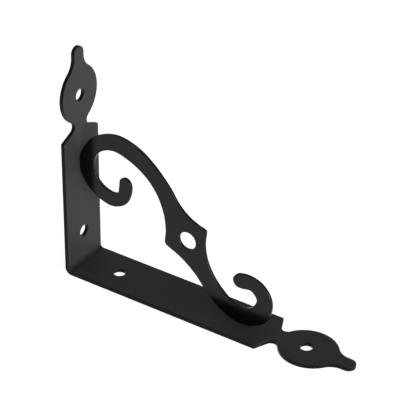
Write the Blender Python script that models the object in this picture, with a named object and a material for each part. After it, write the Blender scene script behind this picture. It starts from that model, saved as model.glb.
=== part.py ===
"""Shelf bracket: a flat strap bent to an L, with a flat scroll brace in its corner.

Axes: +X runs out from the wall along the shelf arm, +Y across the strap, +Z up the wall arm.
The origin is under the middle of the bracket, on the surface that the shelf arm lies on.
Drawing coordinates are x out from the wall arm's back and z up from the shelf arm's outer
face, in millimetres, so the outer corner of the bend is at (0, 0).
"""
import math

import bmesh
import bpy
from mathutils import Vector

MM = 0.001

# Strap: one flat bar, cut to the same leaf at both ends and bent once.
STRAP_WIDTH = 30.0
STRAP_THICKNESS = 2.0
WALL_HEIGHT = 134.4
SHELF_LENGTH = 175.2
BEND_OUTER_RADIUS = 4.0
BEND_FACETS = 8

# Leaf at each end of the strap, measured from its tip.
FINGER_HALF_WIDTH = 3.9
FINGER_FILLET_RADIUS = 9.9
LEAF_HALF_WIDTH = 14.7
LEAF_SIDE_RADIUS = 17.9
LEAF_MIDDLE_FROM_TIP = 28.0
NECK_FILLET_RADIUS = 3.2
SHOULDER_FROM_TIP = 52.5
SHOULDER_SLOPE = 0.45

# Round fixing holes, two in each arm.
FIXING_HOLE_DIAMETER = 7.0
LEAF_HOLE_FROM_TIP = 28.7
WALL_HOLE_HEIGHT = 21.0
SHELF_HOLE_REACH = 26.6

# Scroll brace: a thinner plate standing on edge across the corner. It clears the strap by the
# weld gap where its two curls touch the arms.
WELD_GAP = 0.3
BRACE_THICKNESS = 1.5
BRACE_MIDDLE_Y = -1.55
BRACE_HOLE_CENTRE = (72.4, 41.45)
BRACE_HOLE_DIAMETER = 10.9
TOUCH = STRAP_THICKNESS + WELD_GAP

# Guide points of the brace's outline in drawing coordinates, in order round the metal. The two
# bands meet in a diamond with a corner on either side, and each curl ends in a round tip.
LEFT_CORNER = ((60.3, 33.5), (58.9, 34.3), (58.1, 35.6))
UPPER_CURL_INSIDE = (
    (58.6, 42.5), (57.3, 52.8), (52.6, 63.8), (45.0, 72.2), (34.2, 78.2), (24.6, 80.3),
    (16.4, 77.2), (12.0, 70.6), (12.4, 62.4), (17.2, 56.4), (24.0, 54.1), (27.5, 55.3),
    (28.5, 60.0),
)
UPPER_TIP = ((29.2, 64.2), (32.5, 65.75), (35.5, 63.8))
UPPER_CURL_OUTSIDE = (
    (36.0, 58.4), (32.5, 50.1), (22.8, 45.8), (10.5, 50.4), (3.8, 58.8), (TOUCH, 66.0),
    (4.0, 73.6), (9.6, 82.2), (18.0, 87.8), (28.3, 90.05), (40.5, 87.0), (51.0, 79.9),
    (61.1, 69.3), (66.45, 61.75), (72.5, 56.3), (79.0, 53.1),
)
RIGHT_CORNER = ((82.6, 52.05), (83.7, 51.3), (83.8, 49.8))
LOWER_CURL_INSIDE = (
    (83.2, 42.5), (84.6, 33.8), (89.0, 24.9), (95.4, 17.7), (101.6, 13.4), (108.0, 12.2),
    (113.8, 15.4), (116.3, 20.9), (112.6, 25.35), (106.5, 24.7),
)
LOWER_TIP = ((103.2, 25.2), (101.4, 28.5), (103.4, 32.15))
LOWER_CURL_OUTSIDE = (
    (110.8, 33.8), (118.0, 31.9), (123.5, 26.6), (125.3, 19.2), (122.2, 9.4), (114.6, 3.9),
    (107.0, TOUCH), (98.6, 4.1), (90.4, 8.8), (83.6, 15.6), (77.0, 23.0), (68.5, 29.5),
)

ARC_STEP_DEGREES = 12.0
HOLE_SIDES = 32
CURVE_STEP = 2.0
SMOOTH_BELOW_DEGREES = 30.0


def clear_scene():
    """Remove every object, so that the file holds only this bracket."""
    for item in list(bpy.data.objects):
        bpy.data.objects.remove(item, do_unlink=True)


def painted_steel(name, colour, roughness):
    """Satin black paint over steel."""
    material = bpy.data.materials.new(name)
    material.use_nodes = True
    shader = material.node_tree.nodes["Principled BSDF"]
    shader.inputs["Base Color"].default_value = (*colour, 1.0)
    shader.inputs["Roughness"].default_value = roughness
    shader.inputs["Metallic"].default_value = 0.0
    return material


def arc(centre, radius, start, end):
    """Points round a centre from one angle to another, both ends included."""
    steps = max(2, math.ceil(abs(end - start) / math.radians(ARC_STEP_DEGREES)))
    angles = [start + (end - start) * step / steps for step in range(steps + 1)]
    return [
        (centre[0] + radius * math.cos(angle), centre[1] + radius * math.sin(angle))
        for angle in angles
    ]


def circle(centre, diameter):
    """A closed ring of points."""
    angles = [math.tau * side / HOLE_SIDES for side in range(HOLE_SIDES)]
    return [
        (
            centre[0] + diameter / 2 * math.cos(angle),
            centre[1] + diameter / 2 * math.sin(angle),
        )
        for angle in angles
    ]


def angle_to(centre, point):
    """Direction from a centre to a point."""
    return math.atan2(point[1] - centre[1], point[0] - centre[0])


def leaf_side():
    """One side of the leaf as (half width, distance from tip), from the tip to the shoulder.

    A half circle ends the finger. A hollow fillet runs from the finger into the leaf's round
    side, and the neck's smaller fillet touches both that side and the slanted shoulder.
    """
    tip_centre = (0.0, FINGER_HALF_WIDTH)
    side_centre = (LEAF_HALF_WIDTH - LEAF_SIDE_RADIUS, LEAF_MIDDLE_FROM_TIP)

    fillet_half_width = FINGER_HALF_WIDTH + FINGER_FILLET_RADIUS
    fillet_drop = math.sqrt(
        (LEAF_SIDE_RADIUS + FINGER_FILLET_RADIUS) ** 2
        - (fillet_half_width - side_centre[0]) ** 2
    )
    fillet_centre = (fillet_half_width, side_centre[1] - fillet_drop)

    shoulder = Vector((STRAP_WIDTH / 2, SHOULDER_FROM_TIP))
    inward = Vector((-1.0, -SHOULDER_SLOPE)).normalized()
    tipward = Vector((-inward.y, inward.x))
    neck_start = shoulder + tipward * NECK_FILLET_RADIUS
    offset = neck_start - Vector(side_centre)
    reach = LEAF_SIDE_RADIUS + NECK_FILLET_RADIUS
    lean = offset.dot(inward)
    travel = -lean - math.sqrt(lean**2 - offset.length_squared + reach**2)
    neck_centre = neck_start + inward * travel
    neck_foot = neck_centre - tipward * NECK_FILLET_RADIUS

    points = arc(tip_centre, FINGER_HALF_WIDTH, -math.pi / 2, 0.0)
    points += arc(
        fillet_centre, FINGER_FILLET_RADIUS, math.pi, angle_to(fillet_centre, side_centre)
    )
    points += arc(
        side_centre,
        LEAF_SIDE_RADIUS,
        angle_to(side_centre, fillet_centre),
        angle_to(side_centre, neck_centre),
    )[1:]
    points += arc(
        neck_centre,
        NECK_FILLET_RADIUS,
        angle_to(neck_centre, side_centre) % math.tau,
        angle_to(neck_centre, neck_foot),
    )[1:]
    points.append(tuple(shoulder))
    return points


def arm_outline(tip, direction):
    """Flat outline of one arm's free end, from one shoulder round the tip to the other.

    Places are (distance along the flat blank, place across it). direction is the way from the
    tip towards the bend.
    """
    side = leaf_side()
    near = [(tip + direction * reach, -half) for half, reach in side]
    far = [(tip + direction * reach, half) for half, reach in side[1:]]
    return near[::-1] + far


def ring_edges(bm, points, third=0.0):
    """Vertices and edges of a closed ring in the plane of the first two coordinates."""
    verts = [bm.verts.new((point[0], point[1], third)) for point in points]
    following = verts[1:] + verts[:1]
    return verts, [bm.edges.new(pair) for pair in zip(verts, following)]


def bend_point(along, across, depth):
    """Place in the bent strap of a point of the flat blank, in drawing coordinates.

    The blank's bend starts at 0 and is a quarter turn long; depth is measured inwards from the
    outer face.
    """
    radius = BEND_OUTER_RADIUS
    bend_length = radius * math.pi / 2
    if along <= 0:
        return depth, across, radius - along
    if along >= bend_length:
        return radius + along - bend_length, across, depth
    angle = along / radius
    return (
        radius - (radius - depth) * math.cos(angle),
        across,
        radius - (radius - depth) * math.sin(angle),
    )


def thicken(bm, thickness):
    """Extrude the whole flat sheet along its third coordinate."""
    sheet = bmesh.ops.extrude_face_region(bm, geom=bm.faces[:])
    raised = [item for item in sheet["geom"] if isinstance(item, bmesh.types.BMVert)]
    bmesh.ops.translate(bm, vec=(0.0, 0.0, thickness), verts=raised)


def finish_object(bm, name, material):
    """Turn a bmesh in drawing millimetres into an object in metres."""
    bmesh.ops.scale(bm, vec=(MM, MM, MM), verts=bm.verts[:])
    bmesh.ops.recalc_face_normals(bm, faces=bm.faces[:])
    mesh = bpy.data.meshes.new(name)
    bm.to_mesh(mesh)
    bm.free()
    mesh.shade_smooth()
    mesh.set_sharp_from_angle(angle=math.radians(SMOOTH_BELOW_DEGREES))
    mesh.materials.append(material)
    item = bpy.data.objects.new(name, mesh)
    item.location.x = -SHELF_LENGTH / 2 * MM
    bpy.context.collection.objects.link(item)
    return item


def build_strap(material):
    """The strap: a flat blank with its leaves and holes, carried round the bend."""
    half = STRAP_WIDTH / 2
    bend_length = BEND_OUTER_RADIUS * math.pi / 2
    wall_tip = BEND_OUTER_RADIUS - WALL_HEIGHT
    shelf_tip = bend_length + SHELF_LENGTH - BEND_OUTER_RADIUS
    holes = {
        "wall": (
            wall_tip + LEAF_HOLE_FROM_TIP,
            BEND_OUTER_RADIUS - WALL_HOLE_HEIGHT,
        ),
        "shelf": (
            shelf_tip - LEAF_HOLE_FROM_TIP,
            bend_length + SHELF_HOLE_REACH - BEND_OUTER_RADIUS,
        ),
    }
    outlines = {
        "wall": arm_outline(wall_tip, 1) + [(0.0, half), (0.0, -half)],
        "shelf": arm_outline(shelf_tip, -1) + [(bend_length, half), (bend_length, -half)],
    }

    bm = bmesh.new()
    bend_ends = []
    for arm, outline in outlines.items():
        verts, edges = ring_edges(bm, outline)
        for place in holes[arm]:
            edges += ring_edges(bm, circle((place, 0.0), FIXING_HOLE_DIAMETER))[1]
        bmesh.ops.triangle_fill(bm, use_beauty=True, edges=edges)
        bend_ends.append((verts[-2], verts[-1]))

    rows = [bend_ends[0]]
    for facet in range(1, BEND_FACETS):
        place = bend_length * facet / BEND_FACETS
        rows.append((bm.verts.new((place, half, 0.0)), bm.verts.new((place, -half, 0.0))))
    rows.append(bend_ends[1])
    for (far_a, near_a), (far_b, near_b) in zip(rows, rows[1:]):
        bm.faces.new((far_a, near_a, near_b, far_b))

    bmesh.ops.recalc_face_normals(bm, faces=bm.faces[:])
    thicken(bm, STRAP_THICKNESS)
    for vert in bm.verts:
        vert.co = bend_point(*vert.co)
    return finish_object(bm, "bent_strap", material)


def smooth_ring(points):
    """Closed smooth curve through guide points (centripetal Catmull-Rom)."""
    guides = [Vector(point) for point in points]
    count = len(guides)
    ring = []
    for index in range(count):
        p0, p1, p2, p3 = (guides[(index + shift) % count] for shift in (-1, 0, 1, 2))
        t1 = math.sqrt((p1 - p0).length)
        t2 = t1 + math.sqrt((p2 - p1).length)
        t3 = t2 + math.sqrt((p3 - p2).length)
        steps = max(2, math.ceil((p2 - p1).length / CURVE_STEP))
        for step in range(steps):
            t = t1 + (t2 - t1) * step / steps
            a1 = p0.lerp(p1, t / t1)
            a2 = p1.lerp(p2, (t - t1) / (t2 - t1))
            a3 = p2.lerp(p3, (t - t2) / (t3 - t2))
            b1 = a1.lerp(a2, t / t2)
            b2 = a2.lerp(a3, (t - t1) / (t3 - t1))
            ring.append(b1.lerp(b2, (t - t1) / (t2 - t1)))
    return ring


def build_brace(material):
    """The scroll: a flat plate cut to the smooth outline, with a round hole in its diamond."""
    outline = smooth_ring(
        LEFT_CORNER + UPPER_CURL_INSIDE + UPPER_TIP + UPPER_CURL_OUTSIDE
        + RIGHT_CORNER + LOWER_CURL_INSIDE + LOWER_TIP + LOWER_CURL_OUTSIDE
    )
    bm = bmesh.new()
    edges = ring_edges(bm, outline)[1]
    edges += ring_edges(bm, circle(BRACE_HOLE_CENTRE, BRACE_HOLE_DIAMETER))[1]
    bmesh.ops.triangle_fill(bm, use_beauty=True, edges=edges)
    thicken(bm, BRACE_THICKNESS)
    near_face = BRACE_MIDDLE_Y - BRACE_THICKNESS / 2
    for vert in bm.verts:
        x, z, depth = vert.co
        vert.co = (x, near_face + depth, z)
    return finish_object(bm, "scroll_brace", material)


def main():
    clear_scene()
    build_strap(painted_steel("satin_black_strap", (0.035, 0.035, 0.036), 0.5))
    build_brace(painted_steel("satin_black_brace", (0.03, 0.03, 0.031), 0.5))


main()
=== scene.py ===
import math

import bmesh
import bpy
import numpy as np
from mathutils import Matrix, Vector


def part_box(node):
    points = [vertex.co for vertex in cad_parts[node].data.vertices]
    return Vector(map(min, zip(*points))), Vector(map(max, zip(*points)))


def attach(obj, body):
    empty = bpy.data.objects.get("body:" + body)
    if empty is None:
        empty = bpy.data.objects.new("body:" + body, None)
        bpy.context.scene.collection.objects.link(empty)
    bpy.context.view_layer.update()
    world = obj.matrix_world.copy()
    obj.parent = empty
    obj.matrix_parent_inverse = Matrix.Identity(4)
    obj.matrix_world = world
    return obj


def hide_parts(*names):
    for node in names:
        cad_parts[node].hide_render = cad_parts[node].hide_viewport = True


# Shelf bracket: a bent flat strap, a flat scroll plate and the two weld beads that join them, all
# in satin black powder coat. The frame gives where the pieces go. Shapes below are in millimetres,
# measured from the outer corner of the strap's bend: x out along the shelf arm, z up the wall arm.
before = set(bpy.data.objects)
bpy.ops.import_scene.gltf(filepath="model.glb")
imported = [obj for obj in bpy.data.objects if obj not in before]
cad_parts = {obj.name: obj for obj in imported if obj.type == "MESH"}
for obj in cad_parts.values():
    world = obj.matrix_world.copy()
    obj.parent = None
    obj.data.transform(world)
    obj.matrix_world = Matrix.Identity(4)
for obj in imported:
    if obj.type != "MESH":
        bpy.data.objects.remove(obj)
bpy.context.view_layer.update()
mm = 0.001
mergeDistance = 0.002 * mm
shortestEdge = 0.001 * mm
strapLow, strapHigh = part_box("bent_strap")
scrollLow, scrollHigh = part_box("scroll_brace")
print("frame loaded:", sorted(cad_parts))


def linear(hexColour):
    # sRGB hex to linear: c / 12.92 when dark, else ((c + 0.055) / 1.055) to the power 2.4
    channels = [int(hexColour[place:place + 2], 16) / 255 for place in (1, 3, 5)]
    return [c / 12.92 if c <= 0.04045 else ((c + 0.055) / 1.055) ** 2.4 for c in channels] + [1.0]


def addNode(tree, kind, inputs=None, **settings):
    # one node: settings are its properties, inputs are plain values or sockets to link from
    made = tree.nodes.new(kind)
    for key, value in settings.items():
        setattr(made, key, value)
    for key, value in (inputs or {}).items():
        if isinstance(value, bpy.types.NodeSocket):
            tree.links.new(value, made.inputs[key])
        else:
            made.inputs[key].default_value = value
    return made


def addMesh(name, grids, material):
    # Joins grids of points (rows x columns x 4) into one closed smooth mesh: each grid gives its
    # quads, points that coincide are merged, and the faces are turned outwards. The first three
    # values are the place in metres. The fourth, for the paint, runs from 0 on a flat to 1 on a
    # cut edge or in the bend's crease, where the paint darkens the tone as painted shade and makes
    # the coat smoother.
    points, quads, start = [], [], 0
    for grid in grids:
        rows, columns = grid.shape[:2]
        index = start + np.arange(rows * columns).reshape(rows, columns)
        corners = index[:-1, :-1], index[1:, :-1], index[1:, 1:], index[:-1, 1:]
        quads.append(np.stack(corners, axis=-1).reshape(-1, 4))
        points.append(grid.reshape(-1, 4))
        start += rows * columns
    mesh = bpy.data.meshes.new(name)
    points = np.concatenate(points)
    mesh.from_pydata(points[:, :3].tolist(), [], np.concatenate(quads).tolist())
    mesh.attributes.new("edgeShadeAndGloss", "FLOAT", "POINT").data.foreach_set("value", points[:, 3])
    bm = bmesh.new()
    bm.from_mesh(mesh)
    bmesh.ops.remove_doubles(bm, verts=bm.verts[:], dist=mergeDistance)
    bmesh.ops.dissolve_degenerate(bm, edges=bm.edges[:], dist=shortestEdge)
    bmesh.ops.recalc_face_normals(bm, faces=bm.faces[:])
    bm.to_mesh(mesh)
    bm.free()
    mesh.shade_smooth()
    mesh.materials.append(material)
    piece = bpy.data.objects.new(name, mesh)
    bpy.context.scene.collection.objects.link(piece)
    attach(piece, "root")
    openEdges = len(mesh.edges) * 2 - sum(len(face.vertices) for face in mesh.polygons)
    print(name, len(mesh.polygons), "faces,", openEdges, "edges short of two faces")
    return piece


# Flat plates

def closedNormals(loop):
    # Unit normals of a closed line, pointing in: the way from the point before to the point after,
    # turned a quarter turn towards the side that the signed area says is inside.
    ahead, behind = np.roll(loop, -1, axis=0), np.roll(loop, 1, axis=0)
    way = ahead - behind
    area = np.sum(loop[:, 0] * ahead[:, 1] - ahead[:, 0] * loop[:, 1]) / 2
    turned = np.stack([-way[:, 1], way[:, 0]], axis=1) * np.sign(area)
    return turned / np.linalg.norm(turned, axis=1, keepdims=True)


def rimProfile(plate):
    # Section of a cut edge as (inset from the outline, height above the back face, share of painted
    # edge shade): a flat margin, a quarter ellipse where the punch rolled the front edge over, the
    # upright cut, a smaller quarter circle at the back edge and a flat margin again. The coat
    # moves all of it out from the bare metal's outline.
    quarter = np.linspace(0, np.pi / 2, plate["rimSteps"] + 1)
    front = np.stack([
        plate["rollIn"] * (1 - np.sin(quarter)),
        plate["thickness"] - plate["rollDown"] * (1 - np.cos(quarter)),
        np.sqrt(np.sin(quarter)),
    ], axis=1)
    back = np.stack([
        plate["backRadius"] * (1 - np.cos(quarter)),
        plate["backRadius"] * (1 - np.sin(quarter)),
        np.cos(quarter),
    ], axis=1)
    frontMargin = [[plate["rollIn"] + plate["margin"], plate["thickness"], 0.0]]
    backMargin = [[plate["backRadius"] + plate["margin"], 0.0, 0.0]]
    profile = np.concatenate([frontMargin, front, back, backMargin])
    return profile - [plate["coat"], 0.0, 0.0]


def platePanels(left, right, holes, plate, carry):
    # A plate of even thickness between two edges, as grids. left and right are the edges from one
    # end to the other with equal counts, and their first and last points are shared.
    # Every hole names the stations that it spans, the roots where the middle line parts for it,
    # its centre, its radius and the angles of its left and right sides. The flat faces are ruled
    # from each edge to the middle line, which parts round the holes, and the cut edges are the
    # rim profile carried round each outline.
    count = len(left)
    loop = np.concatenate([left, right[-2:0:-1]])
    inward = closedNormals(loop)
    rightOrder = np.concatenate([[0], np.arange(len(loop) - 1, count - 1, -1), [count - 1]])

    def edgesAt(inset):
        moved = loop + inset * inward
        return moved[:count], moved[rightOrder]

    def middlesAt(inset):
        leftEdge, rightEdge = edgesAt(inset)
        middle = (leftEdge + rightEdge) / 2
        middles = [middle.copy(), middle.copy()]
        for hole in holes:
            first, last = hole["span"]
            rootBefore, rootAfter = hole["roots"]
            for side, angles in enumerate(hole["angles"]):
                way = np.stack([np.cos(angles), np.sin(angles)], axis=1)
                ring = hole["centre"] + (hole["radius"] + inset) * way
                line = middles[side]
                before = np.linspace(0, 1, first - rootBefore + 1)[:, None]
                after = np.linspace(0, 1, rootAfter - last + 1)[:, None]
                line[rootBefore:first + 1] = middle[rootBefore] * (1 - before) + ring[0] * before
                line[last:rootAfter + 1] = ring[-1] * (1 - after) + middle[rootAfter] * after
                line[first:last + 1] = ring
        return middles

    grids = []
    profile = rimProfile(plate)
    for inset, height, _ in (profile[0], profile[-1]):
        for edge, middle in zip(edgesAt(inset), middlesAt(inset)):
            across = np.linspace(0, 1, plate["columns"] + 1)[None, :, None]
            flat = edge[:, None] * (1 - across) + middle[:, None] * across
            place = carry(flat[..., 0], flat[..., 1], np.full(flat.shape[:2], height))
            grids.append(np.concatenate([place, 0 * place[..., :1]], axis=-1))

    outlines = [(loop, inward)]
    for hole in holes:
        leftAngles, rightAngles = hole["angles"]
        angles = np.concatenate([leftAngles, rightAngles[-2:0:-1]])
        way = np.stack([np.cos(angles), np.sin(angles)], axis=1)
        outlines.append((hole["centre"] + hole["radius"] * way, way))
    for outline, way in outlines:
        outline = np.concatenate([outline, outline[:1]])
        way = np.concatenate([way, way[:1]])
        ring = outline[:, None] + profile[None, :, :1] * way[:, None]
        heights = np.broadcast_to(profile[None, :, 1], ring.shape[:2])
        shares = np.broadcast_to(profile[None, :, 2:], ring.shape[:2] + (1,))
        place = carry(ring[..., 0], ring[..., 1], heights)
        grids.append(np.concatenate([place, shares], axis=-1))
    return grids


def effortAlong(path, plate):
    # Work done along a path: one for each longest step, and one for each largest turn
    step = np.diff(path, axis=0)
    length = np.hypot(step[:, 0], step[:, 1])
    heading = np.unwrap(np.arctan2(step[:, 1], step[:, 0]))
    turning = np.abs(np.diff(heading, prepend=heading[:1]))
    each = length / plate["longestStep"] + turning / math.radians(plate["largestTurn"])
    return np.concatenate([[0.0], np.cumsum(each)])


def sharedSpacing(efforts):
    # Even steps through a stretch, as many as the harder of its two edges needs
    return np.linspace(0, 1, max(2, math.ceil(max(efforts)) + 1))


def alongPath(path, effort, start, end, spacing):
    # Points of a path between two amounts of effort
    at = start + (end - start) * spacing
    return np.stack([np.interp(at, effort, path[:, axis]) for axis in (0, 1)], axis=1)


# Strap

strap = {
    "width": 30.0,
    "thickness": 2.3,  # with its coat, which takes up the gap under the scroll
    "coat": 0.0,  # none round the outline, which keeps to the frame's box
    "bendRadius": 4.0,  # outer face
    "bendSteps": 24,
    "creaseShadeReach": 1.5,  # from the inside of the bend, how far its painted shade reaches
    "creaseShare": 0.75,
    "fingerHalfWidth": 4.1,
    "fingerFillet": 9.9,
    "leafHalfWidth": 14.95,
    "leafSideRadius": 17.9,
    "leafMiddle": 28.0,  # from the tip, as the next three are
    "wallLeafHole": 28.4,
    "shelfLeafHole": 29.2,
    "shoulder": 52.2,
    "shoulderSlope": 0.45,
    "shoulderRound": 0.8,
    "neckFillet": 3.2,
    "wallHole": 21.0,  # from the outer corner
    "shelfHole": 26.0,
    "holeRadius": 3.4,
    "holeSteps": 32,  # round half of a hole
    "rollIn": 0.32,
    "rollDown": 0.3,
    "backRadius": 0.2,
    "margin": 0.15,
    "rimSteps": 6,
    "columns": 4,
    "longestStep": 1.2,  # along the outline
    "largestTurn": 5.0,  # degrees
}


def arcPoints(centre, radius, start, end, steps=40):
    # centre + radius * (cos, sin) of angles from start to end
    angles = np.linspace(start, end, steps)
    return np.stack([centre[0] + radius * np.cos(angles), centre[1] + radius * np.sin(angles)], 1)


def leafSide():
    # One side of a leaf as (half width, distance from the tip): a half circle ends the finger, a
    # hollow fillet runs into the round side, a small neck fillet touches both that side and the
    # slanted shoulder, and the shoulder's corner is rounded.
    s = strap
    sideCentre = np.array([s["leafHalfWidth"] - s["leafSideRadius"], s["leafMiddle"]])
    filletHalf = s["fingerHalfWidth"] + s["fingerFillet"]
    filletDrop = math.sqrt(
        (s["leafSideRadius"] + s["fingerFillet"]) ** 2 - (filletHalf - sideCentre[0]) ** 2
    )
    filletCentre = np.array([filletHalf, sideCentre[1] - filletDrop])

    corner = np.array([s["width"] / 2, s["shoulder"]])
    inward = np.array([-1.0, -s["shoulderSlope"]]) / math.hypot(1.0, s["shoulderSlope"])
    tipward = np.array([-inward[1], inward[0]])
    neckStart = corner + tipward * s["neckFillet"]
    offset = neckStart - sideCentre
    lean = offset @ inward
    reach = s["leafSideRadius"] + s["neckFillet"]
    neckCentre = neckStart + inward * (-lean - math.sqrt(lean ** 2 - offset @ offset + reach ** 2))

    turn = math.acos(-inward[1])
    roundCentre = corner - np.array([
        s["shoulderRound"],
        -s["shoulderRound"] * math.tan(turn / 2),
    ])

    def heading(centre, point):
        return math.atan2(point[1] - centre[1], point[0] - centre[0])

    return np.concatenate([
        arcPoints((0.0, s["fingerHalfWidth"]), s["fingerHalfWidth"], -math.pi / 2, 0.0),
        arcPoints(filletCentre, s["fingerFillet"], math.pi, heading(filletCentre, sideCentre)),
        arcPoints(
            sideCentre, s["leafSideRadius"],
            heading(sideCentre, filletCentre), heading(sideCentre, neckCentre),
        )[1:],
        arcPoints(
            neckCentre, s["neckFillet"],
            heading(neckCentre, sideCentre) % math.tau, heading((0, 0), -tipward),
        )[1:],
        arcPoints(roundCentre, s["shoulderRound"], heading((0, 0), tipward), 0.0),
    ])


def bendStrap(along, across, height):
    # Carries the flat blank round the bend. Before it the wall arm stands, after it the shelf arm
    # lies, and between them a point turns by its distance over the outer radius, on a circle whose
    # radius is the outer one less the point's height above the outer face.
    outer = strap["bendRadius"]
    length = outer * np.pi / 2
    angle = np.clip(along, 0, length) / outer
    radius = outer - height
    x = outer - radius * np.cos(angle) + np.maximum(along - length, 0)
    z = outer - radius * np.sin(angle) - np.minimum(along, 0)
    middle = (strapLow.y + strapHigh.y) / 2
    return np.stack([strapLow.x + x * mm, middle + across * mm, strapLow.z + z * mm], axis=-1)


def paintCreaseShade(grid):
    # Painted shade inside the bend, where the tone is darkened as on a cut edge: a share that
    # falls off as exp(-(distance / reach) squared) from the bend's middle.
    insideRadius = strap["bendRadius"] - strap["thickness"]
    middle = (strap["thickness"] + insideRadius * (1 - math.sqrt(0.5))) * mm
    x, z = grid[..., 0] - strapLow.x - middle, grid[..., 2] - strapLow.z - middle
    share = strap["creaseShare"] * np.exp(-(x ** 2 + z ** 2) / (strap["creaseShadeReach"] * mm) ** 2)
    return np.concatenate([grid[..., :3], np.maximum(grid[..., 3:], share[..., None])], axis=-1)


def buildStrap(material):
    # The blank is the same on both sides of its middle line. Its side runs from the wall tip
    # through both leaves to the shelf tip, cut into stretches at the holes and at the bend.
    s = strap
    bendLength = s["bendRadius"] * math.pi / 2
    wallTip = s["bendRadius"] - (strapHigh.z - strapLow.z) / mm
    shelfTip = bendLength + (strapHigh.x - strapLow.x) / mm - s["bendRadius"]
    leaf = leafSide()
    wallLeaf = np.stack([wallTip + leaf[:, 1], leaf[:, 0]], axis=1)
    shelfLeaf = np.stack([shelfTip - leaf[::-1, 1], leaf[::-1, 0]], axis=1)
    side = np.concatenate([wallLeaf, shelfLeaf])
    effort = effortAlong(side, s)

    ringRadius = s["holeRadius"] + s["rollIn"] + s["margin"]
    places = [
        wallTip + s["wallLeafHole"],
        s["bendRadius"] - s["wallHole"],
        bendLength + s["shelfHole"] - s["bendRadius"],
        shelfTip - s["shelfLeafHole"],
    ]
    cuts = [wallTip, 0.0, bendLength, shelfTip]
    for place in places:
        cuts += [place - ringRadius, place + ringRadius]
    cuts.sort()

    edge, holes = [side[:1]], []
    reached = 0
    for start, end in zip(cuts, cuts[1:]):
        work = np.interp([start, end], side[:, 0], effort)
        inBend = start >= 0 and end <= bendLength
        spacing = np.linspace(0, 1, s["bendSteps"] + 1) if inBend else sharedSpacing([np.ptp(work)])
        hit = [place for place in places if start < place < end]
        if hit:
            spacing = np.linspace(0, 1, s["holeSteps"] + 1)
            half = np.pi * (1 - spacing)
            holes.append({
                "span": (reached, reached + len(spacing) - 1),
                "roots": (reached, reached + len(spacing) - 1),
                "centre": np.array([hit[0], 0.0]),
                "radius": s["holeRadius"],
                "angles": (half, -half),
            })
        edge.append(alongPath(side, effort, *work, spacing)[1:])
        reached += len(spacing) - 1
    left = np.concatenate(edge)
    right = left * [1, -1]
    # painted shade darkens the inside of the bend
    grids = [paintCreaseShade(grid) for grid in platePanels(left, right, holes, s, bendStrap)]
    piece = addMesh("powderCoatedStrap", grids, material)
    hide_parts("bent_strap")
    return piece


# Scroll

scroll = {
    "thickness": 1.5,
    "coat": 0.2,  # how far the coat stands out from the metal's outline
    "guides": [  # outline of the metal, from the diamond's left corner round both curls
        (60.3, 33.5), (58.9, 34.3), (58.1, 35.6),
        (58.6, 42.5), (57.3, 52.8), (52.6, 63.8), (45.0, 72.2), (34.2, 78.2), (24.6, 80.3),
        (16.4, 77.2), (12.0, 70.6), (12.4, 62.4), (17.2, 56.4), (24.0, 54.1), (27.5, 55.3),
        (28.5, 60.0),
        (29.2, 64.2), (32.5, 65.75), (35.5, 63.8),
        (36.0, 58.4), (32.5, 50.1), (22.8, 45.8), (10.5, 50.4), (3.8, 58.8), (2.3, 66.0),
        (4.0, 73.6), (9.6, 82.2), (18.0, 87.8), (28.3, 90.05), (40.5, 87.0), (51.0, 79.9),
        (61.1, 69.3), (66.45, 61.75), (72.5, 56.3), (79.0, 53.1),
        (82.6, 52.05), (83.7, 51.3), (83.8, 49.8),
        (83.2, 42.5), (84.6, 33.8), (89.0, 24.9), (95.4, 17.7), (101.6, 13.4), (108.0, 12.2),
        (113.8, 15.4), (116.3, 20.9), (112.6, 25.35), (106.5, 24.7),
        (103.2, 25.2), (101.4, 28.5), (103.4, 32.15),
        (110.8, 33.8), (118.0, 31.9), (123.5, 26.6), (125.3, 19.2), (122.2, 9.4), (114.6, 3.9),
        (107.0, 2.3), (98.6, 4.1), (90.4, 8.8), (83.6, 15.6), (77.0, 23.0), (68.5, 29.5),
    ],
    # Rungs across the metal, as places along the guides on its left and on its right side. Left
    # places run down past the first guide, and so below zero, to the lower curl's tip.
    "upperRungs": [
        (17, 17), (15, 19), (13, 21), (12, 22), (11, 23), (10, 25), (9, 26), (8, 28), (7, 29),
        (6, 30), (5, 31), (4, 32), (3, 33),
    ],
    "holeRungs": [(2.6, 33.35), (-0.9, 38.6)],
    "lowerRungs": [
        (-1.3, 39), (-2, 39.4), (-3, 40), (-4, 41), (-5, 42), (-6, 43), (-7, 44), (-9, 45),
        (-11, 46), (-12, 47), (-13, 48), (-14, 49),
    ],
    "holeCentre": (72.4, 41.45),
    "holeRadius": 5.38,
    "holeSteps": 48,  # past the hole, on each side
    "readings": 60,  # of the outline from one rung to the next, to space the points by
    "rollIn": 0.22,
    "rollDown": 0.2,
    "backRadius": 0.15,
    "margin": 0.2,
    "rimSteps": 6,
    "columns": 4,
    "longestStep": 1.0,  # along the outline
    "largestTurn": 5.0,  # degrees
}


def scrollOutline(places):
    # Smooth closed curve through the guides (centripetal Catmull-Rom). A place is a guide's number
    # and a fraction of the way to the next one; knots are spaced by the root of the distance.
    guides = np.array(scroll["guides"])
    index = np.floor(places).astype(int)
    p0, p1, p2, p3 = (guides[(index + shift) % len(guides)] for shift in (-1, 0, 1, 2))
    t1 = np.sqrt(np.linalg.norm(p1 - p0, axis=1))[:, None]
    t2 = t1 + np.sqrt(np.linalg.norm(p2 - p1, axis=1))[:, None]
    t3 = t2 + np.sqrt(np.linalg.norm(p3 - p2, axis=1))[:, None]
    t = t1 + (t2 - t1) * (places - index)[:, None]
    a1 = p0 + (p1 - p0) * t / t1
    a2 = p1 + (p2 - p1) * (t - t1) / (t2 - t1)
    a3 = p2 + (p3 - p2) * (t - t2) / (t3 - t2)
    b1 = a1 + (a2 - a1) * t / t2
    b2 = a2 + (a3 - a2) * (t - t1) / (t3 - t1)
    return b1 + (b2 - b1) * (t - t1) / (t2 - t1)


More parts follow.
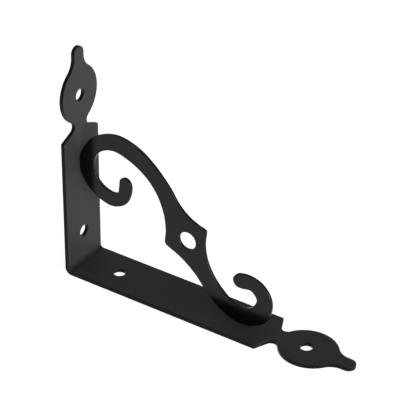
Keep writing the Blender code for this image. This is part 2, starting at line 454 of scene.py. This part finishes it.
def standScroll(x, z, height):
    # The plate stands on edge: its front face is the one towards -Y
    front = scrollLow.y + (scroll["thickness"] - height) * mm
    return np.stack([strapLow.x + x * mm, front, strapLow.z + z * mm], axis=-1)


def buildScroll(material):
    # Between one rung and the next, both sides are followed along the smooth outline
    s = scroll
    rungs = s["upperRungs"] + s["holeRungs"] + s["lowerRungs"]
    edges, stations = ([], []), [0]
    for here, there in zip(rungs, rungs[1:]):
        fine = np.linspace(0, 1, s["readings"])
        paths = [scrollOutline(a + (b - a) * fine) for a, b in zip(here, there)]
        efforts = [effortAlong(path, s) for path in paths]
        if [here, there] == s["holeRungs"]:
            spacing = np.linspace(0, 1, s["holeSteps"] + 1)
        else:
            spacing = sharedSpacing([effort[-1] for effort in efforts])
        for side in (0, 1):
            part = alongPath(paths[side], efforts[side], 0, efforts[side][-1], spacing)
            edges[side].append(part[len(edges[side]) > 0:])
        stations.append(stations[-1] + len(spacing) - 1)
    left, right = (np.concatenate(parts) for parts in edges)

    root = len(s["upperRungs"]) - 1
    centre = np.array(s["holeCentre"])
    rootBefore, first, last, rootAfter = stations[root:root + 4]
    above = (left[rootBefore] + right[rootBefore]) / 2 - centre
    below = (left[rootAfter] + right[rootAfter]) / 2 - centre
    startAngle = math.atan2(above[1], above[0])
    endAngle = math.atan2(below[1], below[0])
    count = last - first + 1
    hole = {
        "span": (first, last),
        "roots": (rootBefore, rootAfter),
        "centre": centre,
        "radius": s["holeRadius"],
        "angles": (
            np.linspace(startAngle, endAngle + math.tau, count),
            np.linspace(startAngle, endAngle, count),
        ),
    }
    grids = platePanels(left, right, [hole], s, standScroll)
    piece = addMesh("powderCoatedScroll", grids, material)
    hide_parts("scroll_brace")
    return piece


# Welds

welds = {
    "length": 9.0,
    "legOnArm": 2.0,  # from the plate's back face, along the arm
    "legOnPlate": 1.8,  # from the arm's face, up the plate
    "sink": 0.1,  # into both metals, so that no gap shows
    "rootDepth": 0.5,  # under the plate's edge
    "edgeRadius": 18.0,  # of the plate's edge where it touches an arm
    "endPower": 4,  # how late the legs begin to fall towards the ends
    "endRoundness": 0.7,
    "faceFlatness": 1.3,  # 1 gives a quarter ellipse, more gives a flatter face
    "rippleHeight": 0.025,  # share of the legs
    "rippleCount": 13,
    "rippleSweep": 0.12,  # how far each crescent bends
    "wallTouch": 66.0,  # height up the wall arm
    "shelfTouch": 107.0,  # distance along the shelf arm
    "stepsAlong": 73,
    "stepsRound": 13,
}


def weldBead():
    # One bead as three arrays over (along, round): distance along the touch, distance from the
    # arm's face and distance behind the plate. Its legs are full in the middle and fall to nothing
    # at both ends as (1 - s to the end power) to the end roundness, with s from -1 to 1, under
    # fine crescent ripples. The outside is a flattened quarter ellipse between the legs, sin and
    # cos to the power of the flatness. The inside runs back through the gap, which grows as the
    # distance along squared over twice the edge's radius.
    w = welds
    s = np.linspace(-1, 1, w["stepsAlong"])[:, None]
    along = s * w["length"] / 2
    taper = (1 - s ** w["endPower"]) ** w["endRoundness"]
    angle = np.linspace(0, np.pi / 2, w["stepsRound"])[None, :]
    swept = s - w["rippleSweep"] * np.sin(2 * angle)
    ripple = 1 + w["rippleHeight"] * np.cos(np.pi * w["rippleCount"] * swept)
    upPlate = np.sin(angle) ** w["faceFlatness"]
    alongArm = np.cos(angle) ** w["faceFlatness"]
    outFromArm = taper * ripple * w["legOnPlate"] * upPlate - w["sink"] * taper
    outBehind = taper * ripple * w["legOnArm"] * alongArm - w["sink"] * taper
    gap = along ** 2 / (2 * w["edgeRadius"])
    gapTop = np.minimum(gap + w["sink"], outFromArm[:, -1:])
    rootFromArm = np.concatenate([gapTop, 0 * gap], axis=1)
    rootBehind = np.repeat(-w["rootDepth"] * taper, 2, axis=1)
    fromArm = np.concatenate([outFromArm, taper * rootFromArm, outFromArm[:, :1]], axis=1)
    behind = np.concatenate([outBehind, rootBehind, outBehind[:, :1]], axis=1)
    return np.broadcast_to(along, fromArm.shape), fromArm, behind


def buildWelds(material):
    # One bead joins the plate to the wall arm and one to the shelf arm, behind the plate
    along, fromArm, behind = weldBead()
    away = strap["thickness"] + fromArm
    y = scrollHigh.y + behind * mm
    wallX, wallZ = strapLow.x + away * mm, strapLow.z + (welds["wallTouch"] + along) * mm
    shelfX, shelfZ = strapLow.x + (welds["shelfTouch"] + along) * mm, strapLow.z + away * mm
    flat = 0 * y
    grids = [
        np.stack([wallX, y, wallZ, flat], axis=-1),
        np.stack([shelfX, y, shelfZ, flat], axis=-1),
    ]
    piece = addMesh("powderCoatedWelds", grids, material)
    return piece


# Paint

paint = {
    "strap": {"colour": "#1d1d1d", "roughness": 0.47, "specular": 0.07},
    "scroll": {"colour": "#040404", "roughness": 0.2, "specular": 0.195},
    "ior": 1.5,
    "paintedEdgeShade": 0.25,  # share of the face's tone on the cut edges and in the crease: painted shade
    "edgeRoughness": 0.22,  # smoother than the strap's flats, as the coat flows out round an edge
    "peelSize": 1.6,  # mm from one hump of the orange peel to the next
    "peelHeight": 0.004,  # mm
    "peelDetail": 2.0,
    "peelGrain": 0.5,
    "toneSize": 28.0,  # mm across the slow changes of tone
    "toneSpread": 0.1,  # share that the tone goes up and down
    "toneDetail": 3.0,
    "toneGrain": 0.55,
}


def satinBlackPowderCoat(name, finish):
    # Polyester powder coat in satin black, sprayed dry and baked on steel. The eye gets a deep
    # neutral black with a soft broad sheen, faint orange peel, and no metal showing. The scroll's
    # coat is smoother than the strap's and has a deeper black, so it dimly mirrors the arms.
    p = paint
    material = bpy.data.materials.new(name)
    material.use_nodes = True
    tree = material.node_tree
    shader = tree.nodes["Principled BSDF"]
    shader.inputs["Metallic"].default_value = 0.0
    shader.inputs["IOR"].default_value = p["ior"]
    shader.inputs["Specular IOR Level"].default_value = finish["specular"]
    place = addNode(tree, "ShaderNodeTexCoord").outputs["Object"]
    tone = addNode(tree, "ShaderNodeTexNoise", {
        "Vector": place,
        "Scale": 1 / (p["toneSize"] * mm),
        "Detail": p["toneDetail"],
        "Roughness": p["toneGrain"],
    })
    base = linear(finish["colour"])
    ramp = addNode(tree, "ShaderNodeValToRGB", {"Fac": tone.outputs["Fac"]})
    for stop, share in zip(ramp.color_ramp.elements, (1 - p["toneSpread"], 1 + p["toneSpread"])):
        stop.color = [channel * share for channel in base[:3]] + [1.0]
    # Painted shade: on cut edges and in the bend's crease the tone drops to the edge share of the
    # face's, and the coat there is smoother.
    cut = addNode(tree, "ShaderNodeAttribute", attribute_name="edgeShadeAndGloss")
    shade = addNode(tree, "ShaderNodeMapRange", {
        "Value": cut.outputs["Fac"], "To Min": 1.0, "To Max": p["paintedEdgeShade"],
    })
    toned = addNode(tree, "ShaderNodeVectorMath", {
        0: ramp.outputs["Color"], "Scale": shade.outputs["Result"],
    }, operation="SCALE")
    tree.links.new(toned.outputs["Vector"], shader.inputs["Base Color"])
    rough = addNode(tree, "ShaderNodeMapRange", {
        "Value": cut.outputs["Fac"], "To Min": finish["roughness"], "To Max": p["edgeRoughness"],
    })
    tree.links.new(rough.outputs["Result"], shader.inputs["Roughness"])
    peel = addNode(tree, "ShaderNodeTexNoise", {
        "Vector": place,
        "Scale": 1 / (p["peelSize"] * mm),
        "Detail": p["peelDetail"],
        "Roughness": p["peelGrain"],
    })
    bump = addNode(tree, "ShaderNodeBump", {
        "Height": peel.outputs["Fac"], "Strength": 1.0, "Distance": p["peelHeight"] * mm,
    })
    tree.links.new(bump.outputs["Normal"], shader.inputs["Normal"])
    return material


buildStrap(satinBlackPowderCoat("satinBlackPowderCoatStrap", paint["strap"]))
scrollPaint = satinBlackPowderCoat("satinBlackPowderCoatScroll", paint["scroll"])
buildScroll(scrollPaint)
buildWelds(scrollPaint)


# Studio

studio = {  # metres
    "floorColour": "#6a6a6a",
    "floorRoughness": 0.9,
    "floorGlow": 0.9,
    "floorSize": 40.0,  # so wide that no edge shows from low views
    "floorDrop": 0.0002,  # under the bracket
    "worldStrength": 0.4,
    "lightWall": (0.98, -0.18, 0.06),  # the way to a wall of light beside the bracket
    "lightWallStrength": 36.5,
    "lightWallFocus": 12.0,
    "lamps": [  # name, place, aim, width, height, watts
        ("overheadSoftbox", (0.0, 0.0, 1.4), (0.0, 0.0, 0.0), 0.3, 0.3, 7.5),
    ],
}


def buildStudio():
    # A plain pale floor, lit from within as a light table is, under one soft lamp
    half = studio["floorSize"] / 2
    drop = -studio["floorDrop"]
    mesh = bpy.data.meshes.new("floor")
    corners = [(-half, -half, drop), (half, -half, drop), (half, half, drop), (-half, half, drop)]
    mesh.from_pydata(corners, [], [(0, 1, 2, 3)])
    material = bpy.data.materials.new("frostedLightTable")
    material.use_nodes = True
    shader = material.node_tree.nodes["Principled BSDF"]
    shader.inputs["Base Color"].default_value = linear(studio["floorColour"])
    shader.inputs["Roughness"].default_value = studio["floorRoughness"]
    shader.inputs["Specular IOR Level"].default_value = 0.0
    shader.inputs["Emission Color"].default_value = (1.0, 1.0, 1.0, 1.0)
    shader.inputs["Emission Strength"].default_value = studio["floorGlow"]
    mesh.materials.append(material)
    floor = bpy.data.objects.new("floor", mesh)
    bpy.context.scene.collection.objects.link(floor)

    # All round light: an even part, and strength * cosine to the power of focus towards one side
    world = bpy.data.worlds.new("studio")
    world.use_nodes = True
    tree = world.node_tree
    toWall = addNode(tree, "ShaderNodeVectorMath", {
        0: addNode(tree, "ShaderNodeTexCoord").outputs["Generated"], 1: studio["lightWall"],
    }, operation="DOT_PRODUCT")
    facing = addNode(tree, "ShaderNodeMath", {
        0: toWall.outputs["Value"], 1: 0.0,
    }, operation="MAXIMUM")
    glow = addNode(tree, "ShaderNodeMath", {
        0: facing.outputs[0], 1: studio["lightWallFocus"],
    }, operation="POWER")
    light = addNode(tree, "ShaderNodeMath", {
        0: glow.outputs[0], 1: studio["lightWallStrength"], 2: studio["worldStrength"],
    }, operation="MULTIPLY_ADD")
    background = tree.nodes["Background"]
    background.inputs["Color"].default_value = (1.0, 1.0, 1.0, 1.0)
    tree.links.new(light.outputs[0], background.inputs["Strength"])
    bpy.context.scene.world = world

    for name, place, aim, width, height, watts in studio["lamps"]:
        lamp = bpy.data.lights.new(name, "AREA")
        lamp.shape = "RECTANGLE"
        lamp.size = width
        lamp.size_y = height
        lamp.energy = watts
        item = bpy.data.objects.new(name, lamp)
        item.location = place
        item.rotation_euler = (Vector(aim) - Vector(place)).to_track_quat("-Z", "Y").to_euler()
        bpy.context.scene.collection.objects.link(item)


view = {
    "place": (0.42269, -0.65042, 0.55588),
    "forward": (-0.46382, 0.70708, -0.53376),
    "rollDegrees": 0.8,
    "lens": 154.0,
    "sensor": 36.0,
}


def buildCamera():
    # The camera looks along forward and is rolled a little about that line
    camera = bpy.data.cameras.new("camera")
    camera.lens = view["lens"]
    camera.sensor_width = view["sensor"]
    camera.sensor_fit = "HORIZONTAL"
    item = bpy.data.objects.new("camera", camera)
    turn = Vector(view["forward"]).to_track_quat("-Z", "Y").to_matrix().to_4x4()
    roll = Matrix.Rotation(math.radians(view["rollDegrees"]), 4, "Z")
    item.matrix_world = Matrix.Translation(view["place"]) @ turn @ roll
    bpy.context.scene.collection.objects.link(item)
    bpy.context.scene.camera = item


buildStudio()
buildCamera()
print("studio and camera placed")
bpy.context.scene.view_settings.view_transform = "Standard"
bpy.context.scene.view_settings.look = "None"
